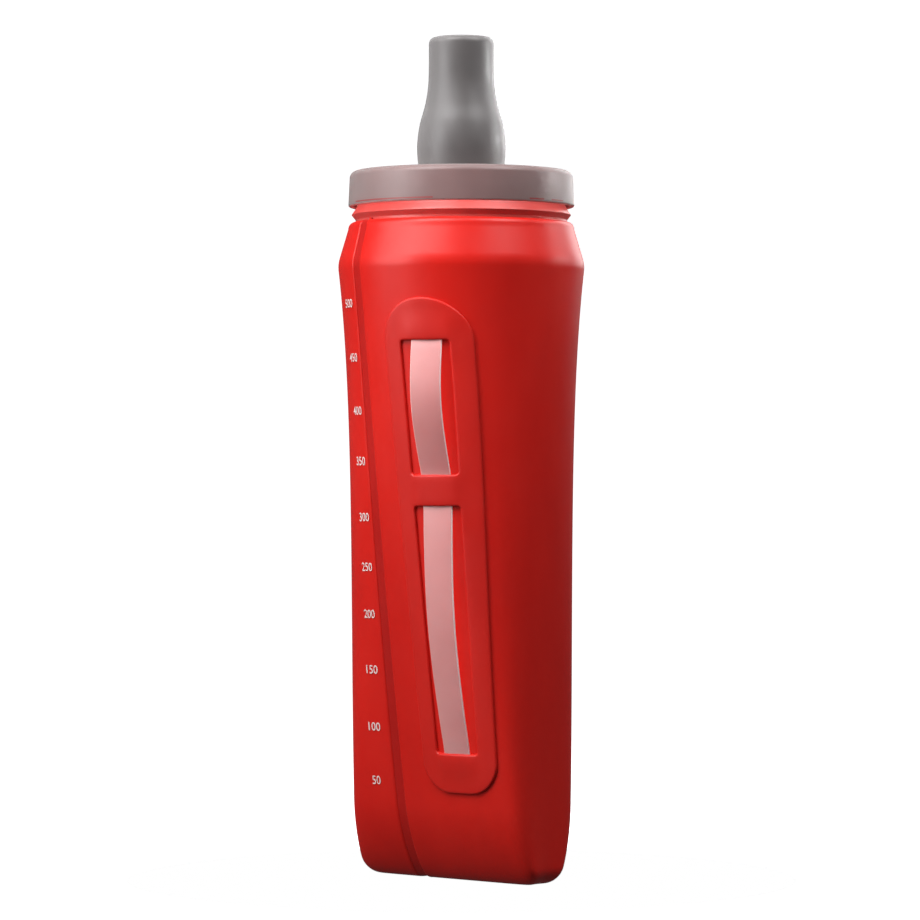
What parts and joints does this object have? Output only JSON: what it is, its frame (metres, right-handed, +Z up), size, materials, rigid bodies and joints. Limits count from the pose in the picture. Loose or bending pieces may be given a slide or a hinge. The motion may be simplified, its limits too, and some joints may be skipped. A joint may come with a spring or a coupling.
{
  "type": "soft squeeze flask",
  "caption": "Soft handheld squeeze bottle with a bite valve, a screw cap and a strap that runs under a raised grip panel.",
  "frame": {"origin": "middle of the base, on the surface that the flask stands on", "axes": "+Z up along the neck's axis, -Y out of the grip face, +X away from the volume scale"},
  "size_m": [0.0738, 0.0738, 0.251],
  "materials": {
    "body_tpu": "smooth satin translucent red TPU",
    "weld_tpu": "matt recessed weld band, red TPU",
    "panel_tpu": "fine matt red TPU overlay",
    "strap_tpu": "frosted translucent TPU band",
    "scale_ink": "white screen print",
    "neck_plastic": "translucent red-tinted plastic",
    "cap_plastic": "frosted translucent grey plastic",
    "gasket_silicone": "smooth silicone",
    "stem_plastic": "natural translucent plastic",
    "valve_silicone": "frosted grey silicone"
  },
  "bodies": {
    "flask": {"grip_shell": "body_tpu", "scale_shell": "body_tpu", "weld_seam": "weld_tpu", "threaded_neck": "neck_plastic", "grip_panel": "panel_tpu", "grip_strap": "strap_tpu"},
    "gasket": {"cap_gasket": "gasket_silicone"},
    "cap": {"screw_cap": "cap_plastic", "spout_stem": "stem_plastic"},
    "valve": {"bite_valve": "valve_silicone"}
  },
  "joints": [
    {"name": "cap_lift", "type": "slide", "parent": "flask", "child": "gasket", "axis": [0, 0, 1], "range_m": [0, 0.012]},
    {"name": "cap_turn", "type": "hinge", "parent": "gasket", "child": "cap", "pos_m": [0, 0, 0.2055], "axis": [0, 0, 1], "range_deg": [0, 1080]},
    {"name": "valve_pull", "type": "slide", "parent": "cap", "child": "valve", "axis": [0, 0, 1], "range_m": [0, 0.02]}
  ],
  "couplings": [
    {"joint": "cap_lift", "follows": "cap_turn", "m_per_rad": 0.00063662}
  ]
}
